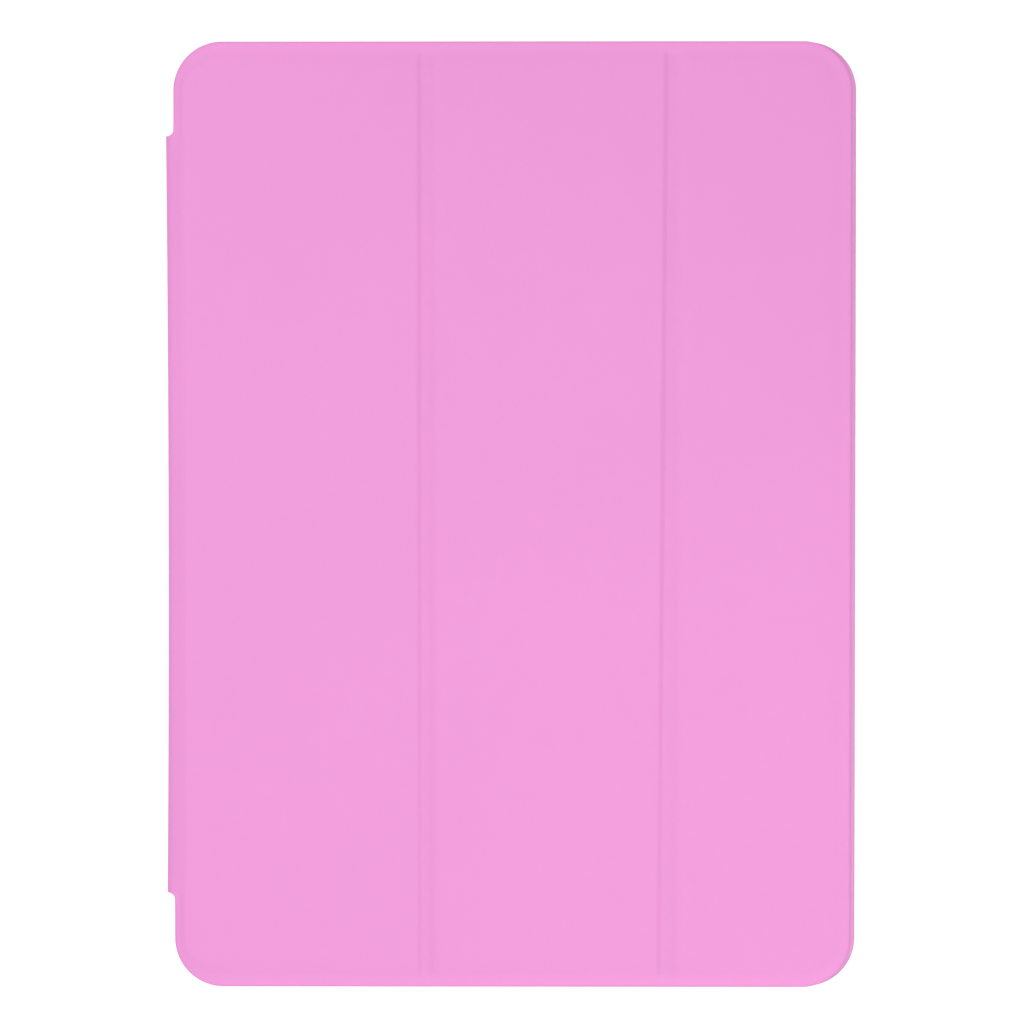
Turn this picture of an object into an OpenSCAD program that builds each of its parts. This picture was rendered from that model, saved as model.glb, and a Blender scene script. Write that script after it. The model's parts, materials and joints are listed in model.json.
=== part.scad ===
// Tri-fold case for a flat tablet: a rigid tray, a soft spine and a cover of three boards.
// The closed case lies on its back. X runs from the spine (-) to the opening edge (+),
// Y runs from the tablet's bottom end (-) to its top end (+), and Z = 0 is the face it lies on.

/* [Tablet] */
// Length of the tablet that the tray holds
tablet_l = 247.6; // [240:0.1:260]
// Width of that tablet
tablet_w = 178.5; // [172:0.1:190]
// Thickness of that tablet
tablet_t = 6.1; // [5.6:0.1:8]
// Radius of that tablet's corners
tablet_r = 12; // [9:0.5:13]

/* [Tray] */
// Gap between the tablet and each wall
fit_gap = 0.2; // [0.1:0.05:0.4]
// Thickness of the walls along the two long sides
side_wall = 1.4; // [1.2:0.1:2]
// Thickness of the walls at the top and bottom ends
end_wall = 2; // [1.4:0.1:2.4]
// Thickness of the tray's floor
floor_t = 1.2; // [0.8:0.1:2]
// How far the snap lip reaches over the tablet
lip_reach = 0.5; // [0.3:0.1:1]
// Thickness of the snap lip
lip_t = 0.35; // [0.3:0.05:0.8]
// Corner radius of the tray and the cover
corner_r = 13; // [12.5:0.5:16]

/* [Layers] */
// Thickness of the outer skin
skin_t = 0.8; // [0.6:0.1:1.2]
// Thickness of the soft lining
lining_t = 0.4; // [0.3:0.1:0.6]
// Thickness of the boards in the cover
board_t = 1; // [0.9:0.1:1.6]
// How far the border and the grooves are pressed below the cover's face
press = 0.45; // [0.2:0.05:0.5]

/* [Cover] */
// Width of the border round the cover that has no board in it
border_w = 3.2; // [2.4:0.1:4]
// How far the cover's free edge stops short of the tray's wall
cover_inset = 1.3; // [0:0.1:2]
// Gap between the closed cover and the tray's rim
cover_gap = 0.15; // [0.1:0.05:0.4]
// Distance of the first fold from the cover's spine side
fold_1 = 66.7; // [60:0.1:72]
// Distance of the second fold from the cover's spine side
fold_2 = 132.4; // [126:0.1:138]
// Gap between the boards at the first fold
groove_1 = 5.4; // [4:0.1:7]
// Gap between the boards at the second fold
groove_2 = 6.4; // [4:0.1:7]

/* [Spine] */
// Length of the spine
spine_l = 202; // [180:1:208]
// How far the spine stands out from the tray's long side
spine_out = 2.1; // [1.9:0.1:3]
// Thickness of the strip that keeps the spine flat
stiffener_t = 0.5; // [0.3:0.1:0.6]

/* [Openings] */
// Size of the camera window across the case
camera_w = 40; // [20:1:60]
// Size of the camera window along the case
camera_l = 30; // [20:1:60]
// Corner radius of the camera window
camera_r = 9; // [4:1:9]
// Distance of the camera window from the tablet's two edges
camera_edge = 7; // [5:0.5:12]
// Width of the moulded rim round the camera window
camera_rim = 1.2; // [0.8:0.1:2]
// Height of the openings in the walls
slot_h = 4.6; // [4.2:0.1:4.8]

/* [Magnets] */
// Number of magnets along the cover's free edge
magnet_count = 4; // [2:1:6]
// Length of each magnet
magnet_l = 24; // [10:1:28]
// Width of each magnet
magnet_w = 5; // [3:0.5:8]
// Diameter of the magnet that wakes the tablet
wake_d = 6; // [4:0.5:10]

/* [Hidden] */
$fn = 96;

over = 1;             // how far a cutting shape runs past what it cuts
hinge_gap = 0.1;      // gap between two bodies at a fold
pocket_gap = 0.05;    // gap between a magnet and its pocket

// Places across the case: the tray's two long sides, the cover's free edge, the tablet's middle
case_w = tablet_w + 2 * (side_wall + fit_gap);
case_l = tablet_l + 2 * (end_wall + fit_gap);
x_left = (spine_out - case_w) / 2;
x_right = x_left + case_w;
x_cover = x_right - cover_inset;
x_mid = (x_left + x_right) / 2;

// Levels: tray floor, tablet seat, snap lip, rim, then the closed cover's three layers
z_floor = skin_t;
z_seat = z_floor + floor_t + lining_t;
z_lip = z_seat + tablet_t + fit_gap / 2;
z_rim = z_lip + lip_t;
z_cover = z_rim + cover_gap;
z_board = z_cover + lining_t;
z_skin = z_board + board_t;
z_top = z_skin + skin_t;
z_border = z_top - press;
z_pressed = z_border - skin_t;    // where skin and lining meet round the boards

// The spine's outer face is a flat between two arcs, and the leather folds half way round each
z_arc_low = spine_out;
z_arc_high = z_border - spine_out;

// Panels: the folds between them, and the edges of their boards
folds = [x_left - spine_out, x_left + fold_1, x_left + fold_2, x_cover + over];
board_from = [x_left + border_w, folds[1] + groove_1 / 2, folds[2] + groove_2 / 2];
board_to = [folds[1] - groove_1 / 2, folds[2] - groove_2 / 2, x_cover - border_w];

// Wall openings. Ends: [middle across the case, length, end (1 top, -1 bottom)]
speaker_x = 38;
speaker_l = 34;
end_slots = [
    [-speaker_x, speaker_l, 1], [speaker_x, speaker_l, 1],      // upper loudspeakers
    [66, 15, 1],                                                // power button
    [-speaker_x, speaker_l, -1], [speaker_x, speaker_l, -1],    // lower loudspeakers
    [0, 16, -1]                                                 // charging port
];
// Opening side: [middle along the case, length]
side_slots = [
    [88, 34],    // volume buttons
    [0, 110]     // where a pencil charges
];

magnet_pitch = (case_l - 2 * corner_r) / magnet_count;
magnet_t = board_t - 2 * pocket_gap;
closing_x = board_to[2] - magnet_w;
stand_x = board_from[0] + magnet_w;
wake_at = [board_to[2] - 3 * magnet_w, magnet_pitch];

pink = [0.93, 0.61, 0.85];
pink_lining = [0.88, 0.56, 0.79];
pink_plastic = [0.91, 0.58, 0.82];
board_grey = [0.62, 0.6, 0.57];
steel = [0.72, 0.73, 0.75];

// A rectangle with round corners, from one corner point to the opposite one
module rounded(low, high, r) {
    size = high - low;
    translate([low[0] + r, low[1]]) square([size[0] - 2 * r, size[1]]);
    translate([low[0], low[1] + r]) square([size[0], size[1] - 2 * r]);
    for (x = [low[0] + r, high[0] - r], y = [low[1] + r, high[1] - r])
        translate([x, y]) circle(r);
}

// A shape drawn in the X-Z plane and drawn out along Y to a length, about Y = 0
module along_y(length) {
    translate([0, length / 2, 0]) rotate([90, 0, 0]) linear_extrude(length) children();
}

// Outlines seen from above
module tray_outline() {
    rounded([x_left, -case_l / 2], [x_right, case_l / 2], corner_r);
}

module bay_outline(inset = 0) {
    half = [tablet_w / 2 + fit_gap - inset, tablet_l / 2 + fit_gap - inset];
    rounded([x_mid, 0] - half, [x_mid, 0] + half, tablet_r + fit_gap - inset);
}

module camera_outline(grow = 0) {
    high = [x_mid + tablet_w / 2, tablet_l / 2] - [camera_edge, camera_edge];
    low = high - [camera_w, camera_l];
    rounded(low - [grow, grow], high + [grow, grow], camera_r + grow);
}

module cover_outline(inset = 0) {
    rounded([x_left + inset, inset - case_l / 2], [x_cover - inset, case_l / 2 - inset],
            corner_r - inset);
}

// The stretch of the case between two places across it
module strip(from, to) {
    translate([from, -case_l]) square([to - from, 2 * case_l]);
}

module panel_outline(panel) {
    intersection() {
        cover_outline();
        strip(folds[panel - 1] + hinge_gap / 2, folds[panel] - hinge_gap / 2);
    }
}

// The board's outline, or the raised field over it when it is grown
module board_outline(panel, grow = 0) {
    intersection() {
        cover_outline(border_w - grow);
        strip(board_from[panel - 1] - grow, board_to[panel - 1] + grow);
    }
}

// The spine's section: the skin is the band between a depth of 0 and skin_t
module spine_section(depth) {
    r = spine_out - depth;
    for (z = [z_arc_low, z_arc_high]) translate([x_left, z]) circle(r);
    translate([x_left - r, z_arc_low]) square([r, z_arc_high - z_arc_low]);
}

module spine_band() {
    difference() {
        spine_section(0);
        spine_section(skin_t);
        translate([x_left, -over]) square([2 * spine_out, z_top + 2 * over]);
    }
}

// The part of the spine's section between its two folds
module between_folds() {
    reach = spine_out + over;
    gap = hinge_gap / 2;
    polygon([
        [x_left, z_arc_low + gap], [x_left - reach, z_arc_low - reach + gap],
        [x_left - reach, z_arc_high + reach - gap], [x_left, z_arc_high - gap]
    ]);
}

// The skin that turns from a flat face, at height z, into the spine as far as the fold
module turned_edge(above) {
    along_y(spine_l) difference() {
        spine_band();
        translate([0, above ? hinge_gap : -hinge_gap]) between_folds();
        translate([x_left - 2 * spine_out, above ? -over : z_arc_low])
            square([2 * spine_out, z_arc_high + over]);
    }
}

// One opening through a wall, with round ends, at the height of the tablet's edge
module wall_slot(length) {
    flat = length - slot_h;
    translate([0, 0, z_seat + tablet_t / 2]) rotate([90, 0, 0])
        linear_extrude(2 * (end_wall + lip_reach + over), center = true) {
            square([flat, slot_h], center = true);
            for (side = [-1, 1]) translate([side * flat / 2, 0]) circle(slot_h / 2);
        }
}

module wall_slots() {
    for (slot = end_slots)
        translate([x_mid + slot[0], slot[2] * case_l / 2, 0]) wall_slot(slot[1]);
    for (slot = side_slots)
        translate([x_right, slot[0], 0]) rotate([0, 0, 90]) wall_slot(slot[1]);
}

// The moulded tray: floor, walls on three sides and round all four corners, snap lip,
// and a rim round the camera window that passes through the back skin
module back_shell() {
    color(pink_plastic) difference() {
        union() {
            translate([0, 0, z_floor]) linear_extrude(z_rim - z_floor) tray_outline();
            linear_extrude(z_floor) camera_outline(camera_rim);
        }
        translate([0, 0, z_floor + floor_t]) linear_extrude(z_lip - z_floor - floor_t)
            bay_outline();
        translate([0, 0, z_lip - over]) linear_extrude(z_rim - z_lip + 2 * over)
            bay_outline(lip_reach + fit_gap);
        translate([0, 0, -over]) linear_extrude(z_rim) camera_outline();
        translate([x_left - over, -spine_l / 2, z_floor + floor_t])
            cube([corner_r + over, spine_l, z_rim]);
        wall_slots();
    }
}

// The skin glued to the tray's back, turned up to the spine
module back_skin() {
    color(pink) union() {
        linear_extrude(skin_t) difference() {
            tray_outline();
            camera_outline(camera_rim + pocket_gap);
        }
        turned_edge(above = false);
    }
}

// The lining that the tablet lies on
module back_lining() {
    color(pink_lining) translate([0, 0, z_floor + floor_t]) linear_extrude(lining_t)
        difference() {
            union() {
                bay_outline(pocket_gap);
                translate([x_left, -spine_l / 2]) square([corner_r, spine_l]);
            }
            camera_outline(camera_rim);
        }
}

module spine_skin() {
    color(pink) along_y(spine_l) intersection() {
        spine_band();
        between_folds();
    }
}

// A flat layer of the spine, at a depth below its outer face
module spine_layer(depth, thickness, length) {
    along_y(length) translate([x_left - spine_out + depth, z_arc_low + hinge_gap])
        square([thickness, z_arc_high - z_arc_low - 2 * hinge_gap]);
}

module spine_stiffener() {
    color(board_grey) spine_layer(skin_t, stiffener_t, spine_l - 2 * border_w);
}

module spine_lining() {
    color(pink_lining) spine_layer(skin_t + stiffener_t, lining_t, spine_l);
}

// A panel's skin: a pressed border with a raised field over the board
module panel_skin(panel) {
    color(pink) difference() {
        union() {
            translate([0, 0, z_pressed]) linear_extrude(skin_t) panel_outline(panel);
            translate([0, 0, z_pressed]) linear_extrude(z_top - z_pressed)
                board_outline(panel, skin_t);
            if (panel == 1) turned_edge(above = true);
        }
        translate([0, 0, z_board]) linear_extrude(board_t) board_outline(panel);
    }
}

// A panel's lining: flat under the board, and raised to meet the skin round it
module panel_lining(panel) {
    color(pink_lining) difference() {
        union() {
            translate([0, 0, z_pressed - lining_t]) linear_extrude(lining_t)
                panel_outline(panel);
            translate([0, 0, z_cover]) linear_extrude(z_pressed - z_cover)
                board_outline(panel, lining_t);
        }
        translate([0, 0, z_board]) linear_extrude(board_t) board_outline(panel);
    }
}

// A row of flat magnets along the case, or of the pockets for them when it is grown
module magnet_row(x, grow = 0) {
    size = [magnet_w, magnet_l, magnet_t] + 2 * [grow, grow, grow];
    for (i = [0 : magnet_count - 1])
        translate([x, (i - (magnet_count - 1) / 2) * magnet_pitch, z_board + board_t / 2])
            cube(size, center = true);
}

module wake_disc(grow = 0) {
    translate([wake_at[0], wake_at[1], z_board + board_t / 2])
        cylinder(h = magnet_t + 2 * grow, d = wake_d + 2 * grow, center = true);
}

module panel_board(panel) {
    color(board_grey) difference() {
        translate([0, 0, z_board]) linear_extrude(board_t) board_outline(panel);
        if (panel == 1) magnet_row(stand_x, pocket_gap);
        if (panel == 3) {
            magnet_row(closing_x, pocket_gap);
            wake_disc(pocket_gap);
        }
    }
}

module panel_1_skin() panel_skin(1);
module panel_1_board() panel_board(1);
module panel_1_lining() panel_lining(1);
module panel_2_skin() panel_skin(2);
module panel_2_board() panel_board(2);
module panel_2_lining() panel_lining(2);
module panel_3_skin() panel_skin(3);
module panel_3_board() panel_board(3);
module panel_3_lining() panel_lining(3);

// The magnets that hold the folded stand together
module stand_magnets() color(steel) magnet_row(stand_x);

// The magnets that hold the cover shut
module closing_magnets() color(steel) magnet_row(closing_x);

// The magnet that the tablet senses to wake and sleep
module wake_magnet() color(steel) wake_disc();

back_shell();
back_skin();
back_lining();
spine_skin();
spine_stiffener();
spine_lining();
panel_1_skin();
panel_1_board();
panel_1_lining();
panel_2_skin();
panel_2_board();
panel_2_lining();
panel_3_skin();
panel_3_board();
panel_3_lining();
stand_magnets();
closing_magnets();
wake_magnet();
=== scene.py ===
"""The looks of the tri-fold tablet case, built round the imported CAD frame, in metres.

X runs from the spine (-) to the opening edge (+), Y along the case, Z up from the desk.
The leather and the lining each run round the case: from the tray's back, up the spine and
over the cover. Grids of points follow that way round, row by row, so the side of a grid that
faces outwards is the same on every piece.
"""
import json
import math
from collections import namedtuple

import bmesh
import bpy
import numpy as np
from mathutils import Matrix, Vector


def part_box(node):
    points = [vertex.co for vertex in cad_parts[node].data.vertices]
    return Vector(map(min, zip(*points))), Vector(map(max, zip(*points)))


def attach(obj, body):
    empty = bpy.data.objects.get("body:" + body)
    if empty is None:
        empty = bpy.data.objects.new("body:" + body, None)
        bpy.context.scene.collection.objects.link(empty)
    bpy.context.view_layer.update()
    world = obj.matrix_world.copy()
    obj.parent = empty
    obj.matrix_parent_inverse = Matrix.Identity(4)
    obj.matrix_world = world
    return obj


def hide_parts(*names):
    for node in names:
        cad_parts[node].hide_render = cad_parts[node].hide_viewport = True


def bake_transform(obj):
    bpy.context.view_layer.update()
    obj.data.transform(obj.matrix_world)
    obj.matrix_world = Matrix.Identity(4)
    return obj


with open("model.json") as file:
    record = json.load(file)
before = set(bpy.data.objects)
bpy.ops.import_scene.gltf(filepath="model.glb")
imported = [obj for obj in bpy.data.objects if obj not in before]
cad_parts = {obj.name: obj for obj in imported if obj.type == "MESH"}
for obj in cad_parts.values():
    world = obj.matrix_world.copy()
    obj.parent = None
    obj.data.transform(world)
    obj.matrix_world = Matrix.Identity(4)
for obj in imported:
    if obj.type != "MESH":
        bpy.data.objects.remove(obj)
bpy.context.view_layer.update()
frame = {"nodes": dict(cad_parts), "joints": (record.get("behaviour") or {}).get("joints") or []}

MM = 0.001

# ---- Places and levels, from the frame ------------------------------------------------------
shell_low, shell_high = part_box("back_shell")
spine_low, spine_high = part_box("spine_skin")
skin_low, skin_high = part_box("panel_2_skin")
lining_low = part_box("panel_2_lining")[0]
board_low, board_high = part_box("panel_2_board")
bed_low, bed_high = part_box("back_lining")
boards = [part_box(f"panel_{panel}_board") for panel in (1, 2, 3)]
fold_x = {joint["name"]: joint["pos_m"][0] for joint in frame["joints"]}

LEFT, RIGHT, END = shell_low.x, shell_high.x, shell_high.y
COVER_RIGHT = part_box("panel_3_skin")[1].x
MIDDLE = (LEFT + RIGHT) / 2
SPINE_X, SPINE_END = spine_low.x, spine_high.y
STIFFENER_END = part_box("spine_stiffener")[1].y

SKIN_T = skin_high.z - board_high.z
LINING_T = board_low.z - lining_low.z
STIFFENER_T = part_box("spine_stiffener")[1].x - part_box("spine_stiffener")[0].x
Z_TOP, Z_PRESSED = skin_high.z, skin_low.z
Z_BORDER = Z_PRESSED + SKIN_T
Z_UNDER = lining_low.z
Z_BOARD_TOP, Z_BOARD_BOTTOM = board_high.z, board_low.z
Z_FLOOR, Z_SEAT = bed_low.z, bed_high.z
Z_RIM = shell_high.z
SPINE_OUT = LEFT - SPINE_X
Z_SPINE_LOW, Z_SPINE_HIGH = SPINE_OUT, Z_BORDER - SPINE_OUT
BOARD_INSET = boards[0][0].x - LEFT

# ---- Sizes of the soft shapes ---------------------------------------------------------------
CORNER_R = 13 * MM        # the cover's and the tray's corners
EDGE_ROUND = 0.6 * MM     # the skin's cut edge
SPINE_ROUND = 0.3 * MM    # the same at the spine's two ends
LINING_ROUND = 0.15 * MM
BORDER_RISE = (0.6 * MM, 6.5 * MM)    # where the skin climbs from its edge to the panel's face
LEFT_RISE = (1.3 * MM, 2.9 * MM)      # the same beside the spine, where the border is a crease
BORDER_DROP = 0.25 * MM   # how far the free border is pressed; the crease goes all the way down
PAINTED_HIGHLIGHT_BORDER = (2.2 * MM, 3.9 * MM)    # where the free border's painted highlight ends
PAINTED_HIGHLIGHT_SIDE = 0.3           # how strong the painted highlight is along the free side, next to 1 at the two ends
ROLL_WIDTH, ROLL_DROP = 3.1 * MM, 0.75 * MM    # how the cover falls away beside the spine
ROLL_CREASE = 0.35 * MM   # half the width of the crease where it starts to
ROLL_END = (1.5 * MM, 6 * MM)    # how far past the spine's flare, and inside its end, that fades
FLARE = 1.5 * MM          # the leather's inner round corners at the spine's two ends
FREE_FROM = 2 * MM        # how far past the flare the leather's edge is a free one again
BOW = 0.45 * MM           # how far the spine bows in at its middle
STRIP = 5 * MM            # half the width of the piece of skin or lining over a fold
EDGE_STRIP = 20 * MM      # how far in from a side the evenly spaced columns of a layer start
CLOSE_ROWS = 15 * MM      # how far in from an end the close rows of a tray layer reach
TURN_SPACING = 1.5        # the power that sets the rows round a fold closer at the flat face

# Slight unevenness of a skin glued to a board: its height, and its wavelengths over two pi
WAVE = 0.025 * MM
WAVE_ACROSS, WAVE_ALONG = (11 * MM, 23 * MM), (17 * MM, 29 * MM)

# Skin and lining part round a board's edge: over what width they do, and from where to where
# the lining's underside climbs, out from the edge and in from it
PARTING = 0.6 * MM
CLIMB_OUT, CLIMB_OUT_FOLD, CLIMB_IN = 1.2 * MM, 1.1 * MM, 0.1 * MM

# A groove's profile: half the width of its steep side, then where its soft side starts, how
# wide it is and how it bends, then how far from the cover's end the groove starts and is whole
STEEP_HALF = 0.8 * MM
SOFT_START, SOFT_WIDTH, SOFT_BEND = 0.6 * MM, 3 * MM, 0.6
GROOVE_END = (1.5 * MM, 4 * MM)

# The spine's lining: how far above the tray's bed it starts and below the front fold it stops,
# and how wide its step at the stiffener's ends is
LINING_FROM, LINING_TO = 0.5 * MM, 0.55 * MM
STEP_WIDTH = 1.2 * MM

# The lining in the gutter: how deep it dips, its stand-off, its round edge, its lap on the bed
GUTTER_DIP, GUTTER_OUT, GUTTER_ROUND, GUTTER_LAP = 0.7 * MM, 0.2 * MM, 0.3 * MM, 0.6 * MM

# The tray seen from above: half sizes about its middle and corner radius. Then its round edges
CAVITY = (89.45 * MM, 124 * MM, 12.2 * MM)
LIP = (88.75 * MM, 123.3 * MM, 11.5 * MM)
Z_LIP = Z_RIM - 0.35 * MM
RIM_ROUND, LIP_ROUND, FLOOR_FILLET = 0.5 * MM, 0.15 * MM, 0.8 * MM
SEAM = 0.12 * MM          # the shallow line between the shell and the skin on its back
PLATE_ROUND, BED_ROUND = 0.6 * MM, 0.2 * MM
GAP = 0.05 * MM           # between the bed's lining, or the window's rim, and what is round it

# Camera window: half sizes, corner and middle. Slots: middle along the wall, and length
WINDOW = (20 * MM, 15 * MM, 9 * MM)
WINDOW_AT = (MIDDLE + 62.25 * MM, 101.8 * MM)
WINDOW_RIM, WINDOW_RIM_ROUND = 1.2 * MM, 0.3 * MM
WINDOW_FLARE = (0.4 * MM, 0.3 * MM)    # its round edges, on the back and on the bed
SLOT_FLARE, SLOT_DEPTH = 0.4 * MM, 4.5 * MM
SLOT_H, SLOT_Z = 4.6 * MM, Z_SEAT + 3.05 * MM
TOP_SLOTS = [(-38 * MM, 34 * MM), (38 * MM, 34 * MM), (66 * MM, 15 * MM)]
BOTTOM_SLOTS = [(-38 * MM, 34 * MM), (38 * MM, 34 * MM), (0, 16 * MM)]
SIDE_SLOTS = [(88 * MM, 34 * MM), (0, 110 * MM)]

# Colours
LEATHER_PINK = (0.77, 0.275, 0.617)
MICROFIBRE_PINK = (0.68, 0.26, 0.54)
PLASTIC_PINK = (0.74, 0.3, 0.605)
PLASTIC_WHITE = (0.7, 0.7, 0.67)
BOARD_GREY = (0.34, 0.32, 0.29)
NICKEL = (0.62, 0.62, 0.6)

# A groove's two edges, measured from its fold, and how far each leans per metre along the case
Groove = namedtuple("Groove", "fold half_gap left right lean_left lean_right")
GROOVES = [
    Groove(fold_x["panel_fold_1"], (boards[1][0].x - boards[0][1].x) / 2,
           -1.35 * MM, 2.15 * MM, 0, 0),
    Groove(fold_x["panel_fold_2"], (boards[2][0].x - boards[1][1].x) / 2,
           -2.3 * MM, 1.4 * MM, 0.0075, 0.003),
]


# ---- Shape functions ------------------------------------------------------------------------
def ramp(value, start, stop):
    """0 at start, 1 at stop, smooth between them and level outside them."""
    share = np.clip((value - start) / (stop - start), 0, 1)
    return share * share * (3 - 2 * share)


def spaced(*runs):
    """Sorted places in millimetres, from runs of (start, stop, steps), as metres."""
    places = np.concatenate([np.linspace(start, stop, steps + 1) for start, stop, steps in runs])
    return np.unique(places.round(5)) * MM


def edge_drop(distance, radius):
    """How far a face with a round edge sinks, at a distance from the edge."""
    inside = radius - np.minimum(distance, radius)
    return radius - np.sqrt(np.maximum(radius**2 - inside**2, 0))


def bend_corners(across, along, left, right, end, radius):
    """Bends a grid's corners to arcs. Gives x, y, the distances from side and end, and how far
    round a corner each point is, from 0 at the side to 1 at the end."""
    from_side = np.minimum(across - left, right - across)
    from_end = end - np.abs(along)
    u, v = radius - from_side, radius - from_end
    reach = np.maximum(np.maximum(u, v), 1e-9)
    angle = np.where(u >= v, v / reach, 2 - u / reach) * math.pi / 4
    turned = np.where(u >= v, np.maximum(v, 0) / reach, 2 - np.maximum(u, 0) / reach) / 2
    nearer = np.where(across < (left + right) / 2, -1, 1)
    middle = np.where(nearer < 0, left + radius, right - radius)
    corner = (u > 0) & (v > 0)
    x = np.where(corner, middle + nearer * reach * np.cos(angle), across)
    y = np.where(corner, np.sign(along) * (end - radius + reach * np.sin(angle)), along)
    return x, y, from_side, from_end, np.clip(turned, 0, 1)


def beside_spine(along):
    """1 along the spine, and 0 past its two ends."""
    return ramp(np.abs(along), SPINE_END + FLARE + ROLL_END[0], SPINE_END - ROLL_END[1])


def free_edge(y):
    """0 where an edge goes on into the spine, and 1 past the spine's two ends."""
    return ramp(np.abs(y), SPINE_END + FLARE, SPINE_END + FLARE + FREE_FROM)


def bow(along):
    """How far in the spine is bowed, at a place along it."""
    return BOW * np.clip(1 - (along / SPINE_END) ** 2, 0, 1)


def bent_ramp(distance):
    """Rises one for one with the distance past a crease, which is rounded."""
    near = np.clip(distance / ROLL_CREASE, -1, 1)
    return np.where(near < 1, ROLL_CREASE * (1 + near) ** 2 / 4, distance)


def groove_share(x, y, groove):
    """1 on the floor of a groove: a steep side towards the spine, and a softer one."""
    left = groove.fold + groove.left + groove.lean_left * y
    right = groove.fold + groove.right + groove.lean_right * y
    down = ramp(x, left - STEEP_HALF, left + STEEP_HALF)
    climb = np.clip((x - right + SOFT_START) / SOFT_WIDTH, 0, 1) ** SOFT_BEND
    return down * (1 - ramp(climb, 0, 1))


def cover_faces(across, along):
    """The four faces of the closed cover's two layers, with x, y and a share of painted light: 1,
    painted shade, in a crease or a groove, and down to -1, a painted highlight, on the free border."""
    x, y, from_side, from_end, turned = bend_corners(across, along, LEFT, COVER_RIGHT, END,
                                                     CORNER_R)
    edge = np.minimum(from_side, from_end)
    at_spine = np.where(x < MIDDLE, beside_spine(y), 0)
    # Painted highlight: the free border is made paler, standing in for light on its slope
    painted_highlight = ramp(edge, *PAINTED_HIGHLIGHT_BORDER[::-1]) * np.where(
        x < MIDDLE, turned, PAINTED_HIGHLIGHT_SIDE + (1 - PAINTED_HIGHLIGHT_SIDE) * turned)
    turned = np.where(x < MIDDLE, ramp(turned, 0, 1), 1)

    start, stop = (left + (free - left) * turned for left, free in zip(LEFT_RISE, BORDER_RISE))
    border = ramp(edge, stop, start) * (1 + (BORDER_DROP / (Z_TOP - Z_BORDER) - 1) * turned)
    roll = ROLL_DROP / (Z_TOP - Z_BORDER) * bent_ramp(ROLL_WIDTH - from_side) / ROLL_WIDTH
    border = border * (1 - at_spine) + roll * at_spine
    groove = sum(groove_share(x, y, groove) for groove in GROOVES)
    groove = groove * ramp(from_end, *GROOVE_END)
    pressed = 1 - (1 - groove) * (1 - border)
    # Painted shade: creases, grooves and the crease beside the spine are made darker, less the
    # painted highlight on the free border; the same share makes creases glossier
    crease = border * (1 - turned * (1 - at_spine))
    crease_and_painted_light = np.clip(1 - (1 - groove) * (1 - crease), 0, 1) - painted_highlight * (1 - at_spine)
    wave = (np.sin(x / WAVE_ACROSS[0] + 1) * np.sin(y / WAVE_ALONG[0])
            + np.sin(y / WAVE_ALONG[1] + x / WAVE_ACROSS[1]))
    level = 1 - np.clip(pressed, 0, 1)

    free = np.where((x < MIDDLE) & (from_side < from_end), free_edge(y), 1)
    skin_top = Z_TOP - (Z_TOP - Z_BORDER) * pressed + WAVE * wave * level
    skin_top = skin_top - edge_drop(edge, EDGE_ROUND * free)

    # Skin and lining meet round the boards, and part over and under them
    sink = (Z_TOP - Z_BORDER) * np.maximum(pressed - 1, 0)
    meet = Z_PRESSED - sink
    over_board = ramp(edge, BOARD_INSET - PARTING, BOARD_INSET)
    raised = ramp(edge, BOARD_INSET - CLIMB_OUT, BOARD_INSET + CLIMB_IN)
    for groove in GROOVES:
        off = np.abs(x - groove.fold)
        over_board = over_board * ramp(off, groove.half_gap - PARTING, groove.half_gap)
        raised = raised * ramp(off, groove.half_gap - CLIMB_OUT_FOLD, groove.half_gap + CLIMB_IN)
    skin_under = meet + (Z_BOARD_TOP - meet) * over_board
    lining_top = meet + (Z_BOARD_BOTTOM - meet) * over_board
    lining_under = meet - LINING_T + (Z_UNDER - meet + LINING_T) * raised
    lining_under = lining_under + edge_drop(edge, LINING_ROUND * free)
    return x, y, skin_top, skin_under, lining_top, lining_under, crease_and_painted_light


# ---- Meshes ---------------------------------------------------------------------------------
def new_object(name, points, faces):
    mesh = bpy.data.meshes.new(name)
    mesh.from_pydata(points.tolist(), [], faces)
    obj = bpy.data.objects.new(name, mesh)
    bpy.context.scene.collection.objects.link(obj)
    return obj


def shade(obj, sharp_angle=38):
    obj.data.shade_smooth()
    obj.data.set_sharp_from_angle(angle=math.radians(sharp_angle))


def sheet_solid(name, outside, inside, crease_and_painted_light=None):
    """A closed solid between two grids of points, the outward one first."""
    rows, columns = outside.shape[:2]
    grid = np.arange(rows * columns).reshape(rows, columns)
    front = np.stack([grid[:-1, :-1], grid[1:, :-1], grid[1:, 1:], grid[:-1, 1:]], -1)
    front = front.reshape(-1, 4)
    loop = np.concatenate([grid[:-1, 0], grid[-1, :-1], grid[:0:-1, -1], grid[0, :0:-1]])
    after = np.roll(loop, -1)
    back = rows * columns
    rim = np.stack([after, loop, loop + back, after + back], -1)
    faces = np.concatenate([front, front[:, ::-1] + back, rim])
    points = np.concatenate([outside.reshape(-1, 3), inside.reshape(-1, 3)])
    obj = new_object(name, points, faces.tolist())
    # Each point's share of painted shade, down to -1 for a painted highlight; it also sets the
    # crease gloss
    share = np.zeros(len(points), np.float32)
    if crease_and_painted_light is not None:
        share[:back] = share[back:] = crease_and_painted_light.ravel()
    attribute = obj.data.attributes.new("crease_and_painted_light", "FLOAT", "POINT")
    attribute.data.foreach_set("value", share)
    shade(obj)
    return obj


def loft(rings):
    """Points and faces of a closed solid through rings with equal numbers of points."""
    count = len(rings[0])
    faces = [list(range(count))[::-1], [(len(rings) - 1) * count + i for i in range(count)]]
    for ring in range(len(rings) - 1):
        for i in range(count):
            j = (i + 1) % count
            low, high = ring * count, (ring + 1) * count
            faces.append([low + i, low + j, high + j, high + i])
    return np.concatenate(rings), faces


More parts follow.
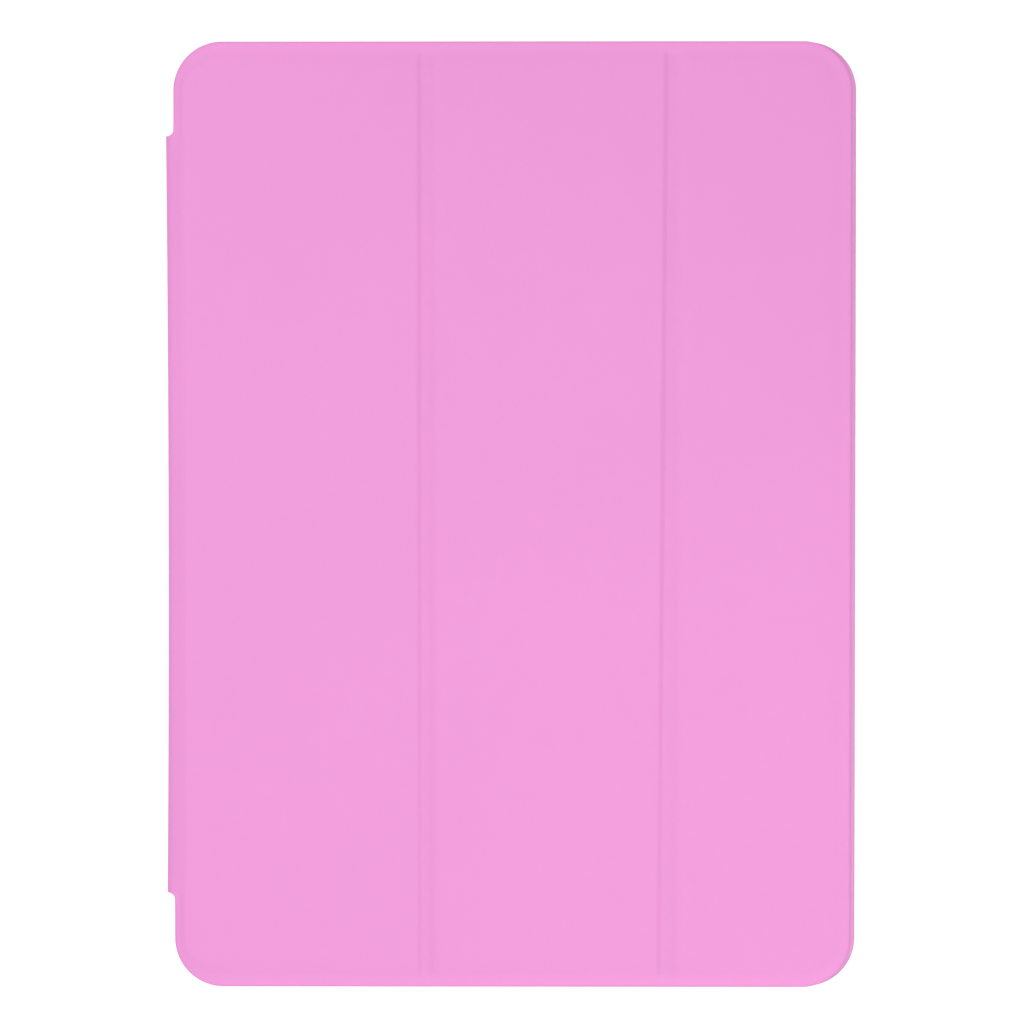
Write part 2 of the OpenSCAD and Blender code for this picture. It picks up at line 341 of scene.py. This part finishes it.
def rounded_ring(half_x, half_y, radius, z, middle=(0, 0), steps=14):
    """A level ring round a rectangle with round corners."""
    points = []
    for quarter, (sx, sy) in enumerate([(1, 1), (-1, 1), (-1, -1), (1, -1)]):
        for step in range(steps + 1):
            angle = (quarter + step / steps) * math.pi / 2
            points.append((middle[0] + sx * (half_x - radius) + radius * math.cos(angle),
                           middle[1] + sy * (half_y - radius) + radius * math.sin(angle), z))
    return np.array(points)


def combine(obj, solids, operation):
    """Cuts solids, given as points and faces, from an object or joins them to it."""
    points, faces = [], []
    for solid_points, solid_faces in solids:
        start = sum(len(p) for p in points)
        points.append(solid_points)
        faces += [[start + i for i in face] for face in solid_faces]
    tool = new_object("tool", np.concatenate(points), faces)
    face_outwards(tool)
    modifier = obj.modifiers.new("combine", "BOOLEAN")
    modifier.operation, modifier.solver, modifier.object = operation, "EXACT", tool
    apply_modifiers(obj)
    bpy.data.objects.remove(tool)


def face_outwards(obj):
    """Turns every face of a closed mesh outwards."""
    solid = bmesh.new()
    solid.from_mesh(obj.data)
    bmesh.ops.recalc_face_normals(solid, faces=solid.faces)
    solid.to_mesh(obj.data)
    solid.free()


def apply_modifiers(obj):
    """Makes what the object's modifiers show its own mesh."""
    bpy.context.view_layer.update()
    evaluated = obj.evaluated_get(bpy.context.evaluated_depsgraph_get())
    mesh = bpy.data.meshes.new_from_object(evaluated)
    obj.modifiers.clear()
    obj.data = mesh


# ---- Materials ------------------------------------------------------------------------------
def add(tree, kind, settings=None, **inputs):
    """A shader node, with its settings, and its inputs as values or as other nodes' outputs."""
    node = tree.nodes.new("ShaderNode" + kind)
    for key, value in (settings or {}).items():
        setattr(node, key, value)
    for key, value in inputs.items():
        socket = node.inputs[key.replace("_", " ")]
        if isinstance(value, bpy.types.NodeSocket):
            tree.links.new(value, socket)
        else:
            socket.default_value = value
    return node


def new_material(name, **constants):
    """A material with constant inputs, its node tree, its shader and the piece's coordinates."""
    material = bpy.data.materials.new(name)
    material.use_nodes = True
    shader = material.node_tree.nodes["Principled BSDF"]
    for key, value in constants.items():
        shader.inputs[key.replace("_", " ")].default_value = value
    place = add(material.node_tree, "TexCoord").outputs["Object"]
    return material, material.node_tree, shader, place


def noise(tree, place, size, detail=2.0):
    """A noise pattern whose blobs have about this size."""
    return add(tree, "TexNoise", Vector=place, Scale=1 / size, Detail=detail).outputs["Fac"]


def mapped(tree, value, low, high, start=0.3, stop=0.7):
    """A pattern's value from start to stop, as low to high."""
    return add(tree, "MapRange", Value=value, From_Min=start, From_Max=stop,
               To_Min=low, To_Max=high).outputs["Result"]


def joined(tree, operation, first, second):
    """Two values put together by a math node."""
    node = tree.nodes.new("ShaderNodeMath")
    node.operation = operation
    tree.links.new(first, node.inputs[0])
    tree.links.new(second, node.inputs[1])
    return node.outputs[0]


def product(tree, first, second):
    return joined(tree, "MULTIPLY", first, second)


def total(tree, first, second):
    return joined(tree, "ADD", first, second)


def tint(tree, shader, colour, value):
    """Sets the base colour, made lighter and darker by a value about 1."""
    shade_node = add(tree, "HueSaturation", Value=value, Color=(*colour, 1))
    tree.links.new(shade_node.outputs["Color"], shader.inputs["Base Color"])


def relief(tree, shader, height, depth, strength):
    bump = add(tree, "Bump", Height=height, Distance=depth, Strength=strength)
    tree.links.new(bump.outputs["Normal"], shader.inputs["Normal"])


def leather_material():
    """Smooth artificial leather with a faint grain: glossier in its creases and grooves, with
    painted shade that darkens them and the spine, and a painted highlight on the cover's free
    border."""
    material, tree, shader, place = new_material("pink_leather", Specular_IOR_Level=0.35)
    crease_and_painted_light = add(tree, "Attribute", {"attribute_name": "crease_and_painted_light"}).outputs["Fac"]
    blotches = mapped(tree, noise(tree, place, 55 * MM), 0.992, 1.008)
    specks = mapped(tree, noise(tree, place, 0.8 * MM, 3), 0.994, 1.006)
    # Painted shade darkens the crease share by up to 2.7 per cent; the painted highlight lightens
    # the free border as much
    value = product(tree, product(tree, blotches, specks),
                    mapped(tree, crease_and_painted_light, 1.027, 0.973, -1, 1))
    tint(tree, shader, LEATHER_PINK, value)
    rough = total(tree, mapped(tree, noise(tree, place, 2.5 * MM, 3), 0.52, 0.6),
                  mapped(tree, crease_and_painted_light, 0, -0.03, 0, 1))
    tree.links.new(rough, shader.inputs["Roughness"])
    pores = add(tree, "TexVoronoi", {"feature": "SMOOTH_F1"}, Vector=place,
                Scale=1 / (0.55 * MM)).outputs["Distance"]
    grain = total(tree, pores, mapped(tree, noise(tree, place, 0.35 * MM, 3), 0, 0.5))
    relief(tree, shader, grain, 0.04 * MM, 0.16)
    return material


def microfibre_material():
    """Short-napped microfibre: a sheen, and patches where the nap lies another way."""
    material, tree, shader, place = new_material(
        "pink_microfibre", Roughness=0.95, Specular_IOR_Level=0.15,
        Sheen_Weight=0.35, Sheen_Roughness=0.45)
    crease_and_painted_light = add(tree, "Attribute", {"attribute_name": "crease_and_painted_light"}).outputs["Fac"]
    nap = mapped(tree, noise(tree, place, 13 * MM, 4), 0.965, 1.035)
    fibres = mapped(tree, noise(tree, place, 0.3 * MM, 4), 0.9, 1.1)
    # Painted shade: the lining is darker in creases, grooves and folds
    value = product(tree, product(tree, nap, fibres), mapped(tree, crease_and_painted_light, 1, 0.95, 0, 1))
    tint(tree, shader, MICROFIBRE_PINK, value)
    fuzz = total(tree, noise(tree, place, 0.25 * MM, 4), noise(tree, place, 1.2 * MM, 3))
    relief(tree, shader, fuzz, 0.12 * MM, 0.5)
    return material


def plastic_material(name, colour, roughness):
    """Moulded plastic with a fine, even texture from the mould."""
    material, tree, shader, place = new_material(name, Specular_IOR_Level=0.45)
    tint(tree, shader, colour, mapped(tree, noise(tree, place, 20 * MM), 0.985, 1.015))
    tree.links.new(mapped(tree, noise(tree, place, 1 * MM, 3), roughness - 0.04, roughness + 0.04),
                   shader.inputs["Roughness"])
    relief(tree, shader, noise(tree, place, 0.35 * MM, 3), 0.04 * MM, 0.25)
    return material


def board_material():
    """Pressed greyboard with darker and lighter fibres in it."""
    material, tree, shader, place = new_material(
        "greyboard", Roughness=0.9, Specular_IOR_Level=0.2)
    pulp = mapped(tree, noise(tree, place, 3 * MM, 5), 0.88, 1.08)
    flecks = mapped(tree, noise(tree, place, 0.5 * MM, 2), 1, 0.75, 0.62, 0.7)
    tint(tree, shader, BOARD_GREY, product(tree, pulp, flecks))
    relief(tree, shader, noise(tree, place, 0.6 * MM, 4), 0.06 * MM, 0.4)
    return material


def magnet_material():
    """Nickel plating with fine lines along the magnets."""
    material, tree, shader, place = new_material("nickel", Metallic=1)
    stretch = add(tree, "Mapping", Vector=place, Scale=(1, 0.04, 1)).outputs["Vector"]
    lines = noise(tree, stretch, 0.12 * MM, 2)
    tint(tree, shader, NICKEL, mapped(tree, lines, 0.95, 1.05))
    tree.links.new(mapped(tree, lines, 0.24, 0.36), shader.inputs["Roughness"])
    relief(tree, shader, lines, 0.01 * MM, 0.2)
    return material


LEATHER = leather_material()
MICROFIBRE = microfibre_material()


# ---- Pieces of skin and lining --------------------------------------------------------------
def dress_layer(obj, layer, *nodes):
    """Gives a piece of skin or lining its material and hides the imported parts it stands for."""
    obj.data.materials.clear()
    obj.data.materials.append(LEATHER if layer == "skin" else MICROFIBRE)
    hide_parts(*nodes)


def grid_of(x, y, z):
    return np.stack([x, y, z], -1)


NEAR_EDGE = spaced((0, 0.35, 5), (0.35, 0.8, 1), (0.8, 4.4, 9), (4.4, 14, 12))
FROM_END = np.concatenate([NEAR_EDGE, spaced((16, 20, 2), (20, 30, 20), (36, 126, 15))])
ALONG = np.unique(np.concatenate([FROM_END - END, END - FROM_END]).round(8))


def cover_pieces(name, across, panels):
    """The skin and the lining over one stretch of the cover."""
    across, along = np.meshgrid(across, ALONG, indexing="ij")
    x, y, skin_top, skin_under, lining_top, lining_under, crease_and_painted_light = cover_faces(across, along)
    made = []
    for layer, upper, lower in (("skin", skin_top, skin_under),
                                ("lining", lining_top, lining_under)):
        obj = sheet_solid(f"{name}_{layer}", grid_of(x, y, upper), grid_of(x, y, lower), crease_and_painted_light)
        dress_layer(obj, layer, *(f"panel_{panel}_{layer}" for panel in panels))
        made.append(obj)
    return made


def build_cover():
    start, stop = (LEFT + NEAR_EDGE), (COVER_RIGHT - NEAR_EDGE)[::-1]
    edges = [LEFT + EDGE_STRIP]
    for groove in GROOVES:
        edges += [groove.fold - STRIP, groove.fold + STRIP]
    edges += [COVER_RIGHT - EDGE_STRIP]
    for panel in (1, 2, 3):
        across = np.linspace(edges[2 * panel - 2], edges[2 * panel - 1], 9)
        if panel == 1:
            across = np.concatenate([start, across])
        if panel == 3:
            across = np.concatenate([across, stop])
        for obj in cover_pieces(f"panel_{panel}_face", across, [panel]):
            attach(obj, f"panel_{panel}")
    for panel, groove in enumerate(GROOVES, 1):
        across = np.linspace(groove.fold - STRIP, groove.fold + STRIP, 37)
        for obj in cover_pieces(f"fold_{panel}", across, [panel, panel + 1]):
            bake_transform(obj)


# ---- The spine and its two folds ------------------------------------------------------------
SPINE_FROM_END = spaced((0, 0.35, 5), (0.35, 1.55, 3), (1.55, 9.6, 16), (9.6, 102.6, 16))
SPINE_ALONG = SPINE_END + FLARE - SPINE_FROM_END
SPINE_ALONG = np.unique(np.concatenate([-SPINE_ALONG, SPINE_ALONG]).round(8))


def turn(flat, spine, slope, shares):
    """A curve from a flat face, at share 0, to the upright spine, at share 1."""
    pull = 0.5523    # the handle length that makes a quarter circle
    out, rise = flat[0] - spine[0], spine[1] - flat[1]
    handles = [flat, (flat[0] - pull * out, flat[1] - pull * out * slope),
               (spine[0], spine[1] - pull * rise), spine]
    t = shares[:, None]
    weights = [(1 - t) ** 3, 3 * t * (1 - t) ** 2, 3 * t**2 * (1 - t), t**3]
    return (sum(w * handle[0] for w, handle in zip(weights, handles)),
            sum(w * handle[1] for w, handle in zip(weights, handles)))


def outward(x, z):
    """The outward direction at each point of curves whose rows run round the case."""
    dx, dz = np.gradient(x, axis=0), np.gradient(z, axis=0)
    length = np.hypot(dx, dz)
    return -dz / length, dx / length


def fold_solid(name, x, z, thickness, drop_side, flip, crease_and_painted_light):
    """A layer over a fold, whose ends flare out to meet the flat face, from its seen curve.
    drop_side is 1 where the seen side faces out of the case, and -1 where it faces in. flip
    turns the rows round, where the curve runs against the sheet's way round the case."""
    from_flat = LEFT - x[:, :1]
    inner = FLARE - np.minimum(from_flat, FLARE)
    end = SPINE_END + FLARE - np.sqrt(FLARE**2 - inner**2)
    y = SPINE_ALONG[None, :] * end / (SPINE_END + FLARE)
    radius = (SPINE_ROUND if drop_side > 0 else LINING_ROUND) * ramp(from_flat, 0, FLARE)
    drop = edge_drop(end - np.abs(y), radius)
    crease_and_painted_light = np.broadcast_to(crease_and_painted_light, x.shape)
    if flip:
        x, y, z, drop, thickness, crease_and_painted_light = (
            a[::-1] for a in (x, y, z, drop, thickness, crease_and_painted_light))
    nx, nz = outward(x, z)
    seen = grid_of(x - drop_side * nx * drop, y, z - drop_side * nz * drop)
    hidden = grid_of(x - drop_side * nx * thickness, y, z - drop_side * nz * thickness)
    grids = (seen, hidden) if drop_side > 0 else (hidden, seen)
    return sheet_solid(name, *grids, crease_and_painted_light)


def lining_step(y):
    """How far the spine's lining steps out to the skin past the stiffener's two ends."""
    return -STIFFENER_T * ramp(np.abs(y), STIFFENER_END, STIFFENER_END + STEP_WIDTH)


def build_spine():
    along = SPINE_ALONG
    shares = np.linspace(0, 1, 25) ** TURN_SPACING
    at_edge = cover_faces(np.full_like(along, LEFT), along)
    top_z, under_z = at_edge[2], at_edge[5]
    slope = ROLL_DROP / ROLL_WIDTH * beside_spine(along)
    skin_t = SKIN_T - bow(along)[None, :] * shares[:, None]
    spine_x = SPINE_X + bow(along)

    # Skin over the front fold, on the spine's face, and over the back fold
    x, z = turn((np.full_like(along, LEFT), top_z), (spine_x, np.full_like(along, Z_SPINE_HIGH)),
                slope, shares)
    # Painted shade over the whole front fold
    obj = fold_solid("spine_front_fold_skin", x, z, skin_t, 1, flip=True, crease_and_painted_light=1)
    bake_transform(obj)
    dress_layer(obj, "skin", "spine_skin", "panel_1_skin")

    x, z = turn((np.full_like(along, LEFT), np.zeros_like(along)),
                (spine_x, np.full_like(along, Z_SPINE_LOW)), 0, shares)
    # Painted shade that deepens from the tray's back up to the spine
    obj = fold_solid("spine_back_fold_skin", x, z, skin_t, 1, flip=False,
                     crease_and_painted_light=shares[:, None])
    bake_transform(obj)
    dress_layer(obj, "skin", "spine_skin", "back_skin")

    y = along * SPINE_END / (SPINE_END + FLARE)
    level, y = np.meshgrid(np.linspace(Z_SPINE_LOW, Z_SPINE_HIGH, 9), y, indexing="ij")
    drop = edge_drop(SPINE_END - np.abs(y), SPINE_ROUND)
    # Painted shade over the whole face of the spine
    obj = sheet_solid("spine_face_skin", grid_of(spine_x[None, :] + drop, y, level),
                      grid_of(np.full_like(y, SPINE_X + SKIN_T), y, level), np.ones_like(y))
    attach(obj, "spine")
    dress_layer(obj, "skin", "spine_skin")

    # Lining on the spine, and over the front fold
    low, high = Z_SEAT + LINING_FROM, Z_SPINE_HIGH - LINING_TO
    seen_x = SPINE_X + SKIN_T + STIFFENER_T + LINING_T
    step = lining_step(y[0])
    level, y = np.meshgrid(np.linspace(low, high, 7), y[0], indexing="ij")
    drop = edge_drop(SPINE_END - np.abs(y), LINING_ROUND)
    # Painted shade over the whole lining of the spine
    obj = sheet_solid("spine_face_lining", grid_of(seen_x - LINING_T + step + 0 * y, y, level),
                      grid_of(seen_x + step - drop, y, level), np.ones_like(y))
    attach(obj, "spine")
    dress_layer(obj, "lining", "spine_lining")

    x, z = turn((np.full_like(along, LEFT), under_z), (seen_x + step, np.full_like(along, high)),
                slope, shares)
    # Painted shade over the whole lining of the front fold
    obj = fold_solid("spine_front_fold_lining", x, z, np.full_like(x, LINING_T), -1, flip=True,
                     crease_and_painted_light=1)
    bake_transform(obj)
    dress_layer(obj, "lining", "spine_lining", "panel_1_lining")
    build_gutter(low, seen_x)


def arc(middle, radius, start, stop, steps):
    """Points on an arc, from one angle in degrees to another."""
    angles = np.radians(np.linspace(start, stop, steps + 1))
    return [(middle[0] + radius * math.cos(a), middle[1] + radius * math.sin(a)) for a in angles]


def build_gutter(spine_from, spine_x):
    """The lining from the tray's floor over its edge, down into the fold and up the spine."""
    bed_edge = MIDDLE - CAVITY[0] + GAP
    edge_x, dip_z = LEFT - GUTTER_OUT, Z_FLOOR - GUTTER_DIP
    middle_x = (edge_x + spine_x) / 2
    seen = [(bed_edge, Z_SEAT), (bed_edge - GUTTER_LAP, Z_SEAT)]
    seen += arc((edge_x + GUTTER_ROUND, Z_SEAT - GUTTER_ROUND), GUTTER_ROUND, 90, 180, 5)
    seen += [(edge_x, (Z_SEAT + dip_z) / 2)]
    seen += arc((middle_x, dip_z), (edge_x - spine_x) / 2, 0, -180, 8)
    seen += [(spine_x, dip_z + share * (spine_from - dip_z)) for share in (0.25, 0.5, 0.75, 1)]
    hidden = [(bed_edge, Z_FLOOR), (bed_edge - GUTTER_LAP, Z_FLOOR)]
    hidden += [(LEFT + off * MM, Z_FLOOR) for off in (0.3, 0.2, 0.1)]
    hidden += [(LEFT, Z_FLOOR - off * MM) for off in (0, 0.05, 0.1)]
    hidden += [(LEFT, (Z_FLOOR + dip_z) / 2)]
    hidden += arc((middle_x, dip_z), LEFT - middle_x, 0, -180, 8)
    hidden += [(spine_x - share * LINING_T, dip_z + rise * (spine_from - dip_z))
               for share, rise in ((0.8, 0.25), (0.9, 0.5), (1, 0.75), (1, 1))]
    y = SPINE_ALONG * SPINE_END / (SPINE_END + FLARE)
    step = lining_step(y)
    grids = []
    for path in (hidden, seen):
        path = np.array(path)
        share = np.clip((path[:, 1] - dip_z) / (spine_from - dip_z), 0, 1)
        share = share * (path[:, 0] <= middle_x)
        x = path[:, :1] + share[:, None] * step[None, :]
        grids.append(grid_of(x, np.broadcast_to(y, x.shape), np.broadcast_to(path[:, 1:], x.shape)))
    # Painted shade that deepens from the tray's bed down into the gutter and up the spine
    crease_and_painted_light = np.broadcast_to(np.linspace(0, 1, len(x))[:, None], x.shape)
    obj = sheet_solid("spine_back_fold_lining", *grids, crease_and_painted_light)
    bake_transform(obj)
    dress_layer(obj, "lining", "spine_lining", "back_lining")


# ---- The tray -------------------------------------------------------------------------------
def tray_plate(name, half, radius, seen_z, hidden_z, edge_r):
    """A flat layer of the tray, open to the fold along the spine, with the seen face given."""
    left, right = MIDDLE - half[0], MIDDLE + half[0]
    across = np.concatenate([left + NEAR_EDGE,
                             np.linspace(left + EDGE_STRIP, right - EDGE_STRIP, 24),
                             (right - NEAR_EDGE)[::-1]])[::-1]
    far = ALONG[np.abs(ALONG) < half[1] - CLOSE_ROWS]
    along = np.unique(np.concatenate([NEAR_EDGE - half[1], half[1] - NEAR_EDGE, far]).round(8))
    across, along = np.meshgrid(across, along, indexing="ij")
    x, y, from_side, from_end, _ = bend_corners(across, along, left, right, half[1], radius)
    spine_side = (x < MIDDLE) & (from_side < from_end)
    free = np.where(spine_side, free_edge(y), 1)
    drop = edge_drop(np.minimum(from_side, from_end), edge_r * free)
    seen = grid_of(x, y, seen_z + np.sign(hidden_z - seen_z) * drop)
    hidden = grid_of(x, y, np.full_like(x, hidden_z))
    if seen_z < hidden_z:
        return sheet_solid(name, seen, hidden)
    return sheet_solid(name, hidden, seen)


def round_edge(radius, count):
    """Points round a rounded edge, each as its distances from the edge's two faces."""
    return [(radius * (1 - math.sin(a)), radius * (1 - math.cos(a)))
            for a in np.linspace(0, math.pi / 2, count)]


def window_ring(grow, z):
    """A level ring with the camera window's shape, larger by grow on every side."""
    return rounded_ring(*(size + grow for size in WINDOW), z, WINDOW_AT)


def window_solid(grow, low, high, flare_low=0.0, flare_high=0.0):
    """The camera window's shape drawn up from low to high, flared to round edges."""
    def flared(flare, end, way):
        return [window_ring(grow + flare, end - way * MM)] + [
            window_ring(grow + out, end + way * up)
            for out, up in round_edge(flare, 5 if flare else 1)]

    return loft(flared(flare_low, low, 1) + flared(flare_high, high, -1)[::-1])


def window_rim():
    """The moulded rim round the camera window, flush with the back, with a round outer edge."""
    rings = [window_ring(WINDOW_RIM - inset, up) for inset, up in round_edge(WINDOW_RIM_ROUND, 5)]
    return loft(rings + [window_ring(WINDOW_RIM, Z_FLOOR - 0.4 * MM)])


def slot_solid(along, length, wall):
    """A slot through a wall, flared at the outer face. wall: its outer face, the direction it
    looks in and the axis across it."""
    profile = [(SLOT_FLARE, MM)]
    profile += [(grow, -depth) for grow, depth in round_edge(SLOT_FLARE, 5)]
    profile += [(0, -SLOT_DEPTH)]
    rings = []
    for grow, out in profile:
        flat = rounded_ring(length / 2 + grow, SLOT_H / 2 + grow, SLOT_H / 2 + grow, 0, steps=8)
        run, up = flat[:, 0] + along, flat[:, 1] + SLOT_Z
        away = np.full_like(run, wall[0] + wall[1] * out)
        rings.append(np.stack([run, away, up] if wall[2] == "y" else [away, run, up], -1))
    return loft(rings)


def spine_opening():
    """What is cut from the tray along the spine: its profile seen along X, drawn across."""
    top_r, foot_r, high = 1.5 * MM, MM, Z_RIM + 3 * MM
    half = [(0, Z_FLOOR)]
    half += arc((SPINE_END - foot_r, Z_FLOOR + foot_r), foot_r, -90, 0, 6)
    half += arc((SPINE_END + top_r, Z_RIM - top_r), top_r, 180, 90, 8)
    half += [(SPINE_END + top_r, high)]
    profile = half + [(-y, z) for y, z in half[:0:-1]]
    rings = [np.array([(x, y, z) for y, z in profile]) for x in (LEFT - MM, LEFT + CORNER_R)]
    return loft(rings)


def build_tray():
    half_x, half_y = (RIGHT - LEFT) / 2, END

    def ring(half, z, inset=0.0):
        return rounded_ring(half[0] - inset, half[1] - inset, half[2] - inset, z, (MIDDLE, 0))

    outer = (half_x, half_y, CORNER_R)
    rings = [ring(outer, SKIN_T, SEAM), ring(outer, SKIN_T + SEAM)]
    rings += [ring(outer, Z_RIM - down, inset) for down, inset in round_edge(RIM_ROUND, 6)]
    rings += [ring(LIP, Z_RIM - down, -out) for out, down in round_edge(LIP_ROUND, 6)[::2]]
    rings += [ring(LIP, Z_LIP), ring(CAVITY, Z_LIP)]
    rings += [ring(CAVITY, Z_FLOOR + up, inset) for up, inset in round_edge(FLOOR_FILLET, 6)]
    points, faces = loft(rings)
    shell = new_object("tray_shell", points, faces)
    combine(shell, [window_rim()], "UNION")
    cutters = [spine_opening(), window_solid(0, 0, Z_FLOOR, *WINDOW_FLARE)]
    cutters += [slot_solid(MIDDLE + x, length, (END, 1, "y")) for x, length in TOP_SLOTS]
    cutters += [slot_solid(MIDDLE + x, length, (-END, -1, "y")) for x, length in BOTTOM_SLOTS]
    cutters += [slot_solid(y, length, (RIGHT, 1, "x")) for y, length in SIDE_SLOTS]
    combine(shell, cutters, "DIFFERENCE")
    shade(shell, 32)
    shell.modifiers.new("normals", "WEIGHTED_NORMAL").keep_sharp = True
    apply_modifiers(shell)
    shell.data.materials.clear()
    shell.data.materials.append(plastic_material("pink_plastic", PLASTIC_PINK, 0.42))
    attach(shell, "back")
    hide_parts("back_shell")

    plate = tray_plate("back_plate_skin", (half_x, half_y), CORNER_R, 0, SKIN_T, PLATE_ROUND)
    combine(plate, [window_solid(WINDOW_RIM + GAP, 0, SKIN_T)], "DIFFERENCE")
    shade(plate)
    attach(plate, "back")
    dress_layer(plate, "skin", "back_skin")

    bed_half = (CAVITY[0] - GAP, CAVITY[1] - GAP)
    bed = tray_plate("bed_lining", bed_half, CAVITY[2] - GAP, Z_SEAT, Z_FLOOR, BED_ROUND)
    combine(bed, [window_solid(WINDOW_RIM, Z_FLOOR, Z_SEAT)], "DIFFERENCE")
    shade(bed)
    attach(bed, "back")
    dress_layer(bed, "lining", "back_lining")


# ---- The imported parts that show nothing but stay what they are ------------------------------
def dress(nodes, material):
    """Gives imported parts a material."""
    for name in nodes:
        materials = frame["nodes"][name].data.materials
        materials.clear()
        materials.append(material)


build_tray()
build_spine()
build_cover()
dress(["panel_1_board", "panel_2_board", "panel_3_board"], board_material())
dress(["spine_stiffener"], plastic_material("white_plastic", PLASTIC_WHITE, 0.5))
dress(["stand_magnets", "closing_magnets", "wake_magnet"], magnet_material())


# ---- Floor, light and camera ----------------------------------------------------------------
VIEW_DISTANCE = 1.0
VIEW_MIDDLE = (0.3 * MM, 0.9 * MM)
FRAME_WIDTH = 0.2732           # how much of the rim's level the picture spans
LEAN_TOP, LEAN_SIDE = math.radians(1.4), math.radians(0.5)    # the top and the right are nearer
FLOOR_R, SWEEP_R = 3.0, 0.8    # a flat floor that sweeps up all round
FLOOR_SIDES = 64
FLOOR_Z = -0.2                 # low enough for the cover to swing down past the tray
WORLD_GLOW = 0.35

# Each light's name, place, size and power
LIGHTS = [("softbox", (0, 0, 1.9), 0.9, 15.2),
          ("left_light", (-0.4, 0.12, 0.75), 0.4, 1.75),
          ("low_light", (0.24, -0.28, 0.5), 0.3, 0.8)]


def build_floor():
    """A round floor, from a flat middle up to its swept edge."""
    turns = np.linspace(0, math.pi / 2, 9)
    rings = [(FLOOR_R * share, 0) for share in (0.1, 0.4, 0.7)]
    rings += [(FLOOR_R + SWEEP_R * math.sin(a), SWEEP_R * (1 - math.cos(a))) for a in turns]
    around = np.linspace(0, 2 * math.pi, FLOOR_SIDES, endpoint=False)
    points = np.concatenate([np.stack([r * np.cos(around), r * np.sin(around),
                                       np.full_like(around, FLOOR_Z + z)], -1) for r, z in rings])
    faces = [list(range(FLOOR_SIDES))]
    for inner in range(0, FLOOR_SIDES * (len(rings) - 1), FLOOR_SIDES):
        for i in range(FLOOR_SIDES):
            j, outer = (i + 1) % FLOOR_SIDES, inner + FLOOR_SIDES
            faces.append([outer + i, outer + j, inner + j, inner + i])
    floor = new_object("floor", points, faces)
    floor.data.shade_smooth()
    material, _, _, _ = new_material("pale_floor", Base_Color=(0.4, 0.4, 0.4, 1), Roughness=0.9,
                                     Specular_IOR_Level=0.1, Emission_Color=(1, 1, 1, 1),
                                     Emission_Strength=0.8)
    floor.data.materials.append(material)


def build_studio():
    """The world's light, the lights and the camera."""
    scene = bpy.context.scene
    world = bpy.data.worlds.new("studio")
    world.use_nodes = True
    background = world.node_tree.nodes["Background"]
    background.inputs["Color"].default_value = (1, 1, 1, 1)
    background.inputs["Strength"].default_value = WORLD_GLOW
    scene.world = world

    for light in LIGHTS:
        add_light(*light)

    camera = bpy.data.objects.new("camera", bpy.data.cameras.new("camera"))
    scene.collection.objects.link(camera)
    camera.data.lens = camera.data.sensor_width * VIEW_DISTANCE / FRAME_WIDTH
    camera.location = (VIEW_MIDDLE[0] + VIEW_DISTANCE * math.sin(LEAN_SIDE),
                       VIEW_MIDDLE[1] + VIEW_DISTANCE * math.sin(LEAN_TOP),
                       Z_RIM + VIEW_DISTANCE)
    camera.rotation_euler = (-LEAN_TOP, LEAN_SIDE, 0)
    scene.camera = camera
    scene.view_settings.view_transform = "Standard"


def add_light(name, place, size, power):
    """A square soft light that shines at the tray's middle."""
    light = bpy.data.lights.new(name, "AREA")
    light.size, light.energy = size, power
    obj = bpy.data.objects.new(name, light)
    bpy.context.scene.collection.objects.link(obj)
    obj.location = place
    obj.rotation_mode = "QUATERNION"
    obj.rotation_quaternion = obj.location.to_track_quat("Z", "Y")


build_floor()
build_studio()
